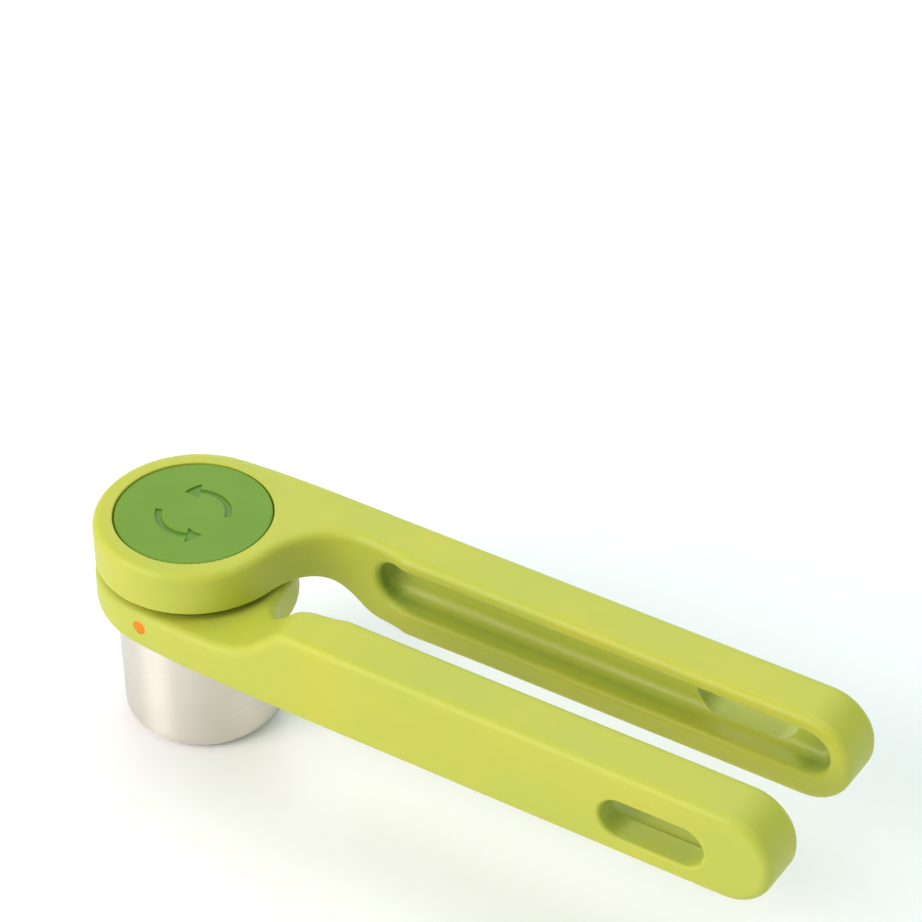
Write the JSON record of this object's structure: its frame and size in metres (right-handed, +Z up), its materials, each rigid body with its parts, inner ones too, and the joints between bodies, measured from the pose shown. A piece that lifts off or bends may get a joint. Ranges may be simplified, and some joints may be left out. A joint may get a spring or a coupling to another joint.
{
  "type": "garlic press",
  "caption": "Twist-action garlic press: two side-by-side moulded handles turn a steep thread that drives a plunger down into a perforated steel basket.",
  "frame": {"origin": "centre of the basket's flat base, on the press axis", "axes": "+X towards the ends of the two handles, +Y towards the upper arm's handle, +Z up along the press axis; drawn closed, with the handles side by side"},
  "size_m": [0.1855, 0.0481, 0.0562],
  "materials": {
    "arm_nylon": "satin moulded lime nylon",
    "cap_nylon": "fine matt moulded green nylon",
    "thread_nylon": "smooth moulded green nylon",
    "dot_plastic": "smooth orange insert",
    "plunger_acetal": "natural acetal",
    "basket_steel": "satin brushed stainless steel",
    "hardware_steel": "plain stainless fasteners"
  },
  "bodies": {
    "lower": {"lower_arm": "arm_nylon", "basket": "basket_steel", "thread_collar": "thread_nylon", "lower_alignment_dot": "dot_plastic"},
    "plunger": {"plunger_head": "plunger_acetal", "press_plate": "basket_steel", "thrust_washer": "hardware_steel"},
    "upper": {"upper_arm": "arm_nylon", "cap_disc": "cap_nylon", "screw_barrel": "thread_nylon", "barrel_screws": "hardware_steel", "pivot_screw": "hardware_steel", "upper_alignment_dot": "dot_plastic"}
  },
  "joints": [
    {"name": "plunger_travel", "type": "slide", "parent": "lower", "child": "plunger", "axis": [0, 0, 1], "range_m": [0, 0.018]},
    {"name": "handle_twist", "type": "hinge", "parent": "plunger", "child": "upper", "pos_m": [0, 0, 0], "axis": [0, 0, 1], "range_deg": [0, 135]}
  ],
  "couplings": [
    {"joint": "plunger_travel", "follows": "handle_twist", "m_per_rad": 0.0076394}
  ]
}
